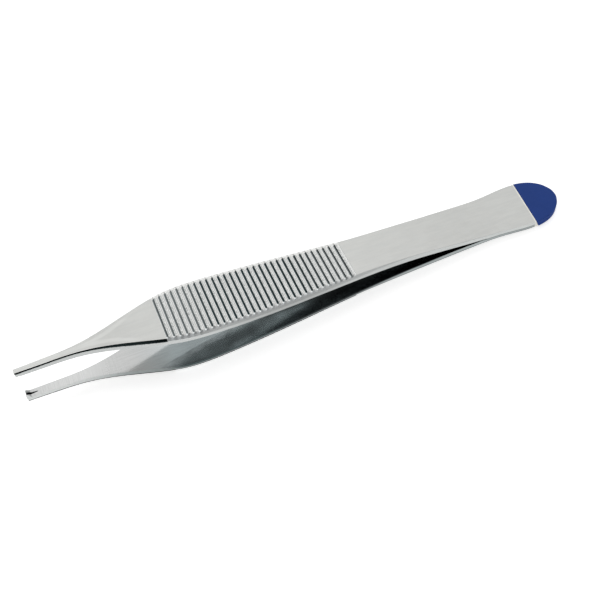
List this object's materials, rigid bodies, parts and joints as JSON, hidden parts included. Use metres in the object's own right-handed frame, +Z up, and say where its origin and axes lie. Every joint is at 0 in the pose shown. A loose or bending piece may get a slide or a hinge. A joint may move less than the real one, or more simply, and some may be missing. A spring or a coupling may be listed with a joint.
{
  "type": "thumb forceps",
  "caption": "Sprung thumb forceps with narrow toothed tips, ridged finger grips and a colour-dipped butt end.",
  "frame": {"origin": "centre of the footprint, on the surface the forceps lies on", "axes": "+X from the tips to the butt, +Y across the arms, +Z up, the way the upper arm opens"},
  "size_m": [0.1202, 0.0136, 0.0123],
  "materials": {
    "steel": "satin blasted outside, polished inside",
    "coat": "matt dipped coat"
  },
  "bodies": {
    "root": {"upper_arm": "steel", "lower_arm": "steel", "end_coat": "coat"}
  },
  "joints": []
}
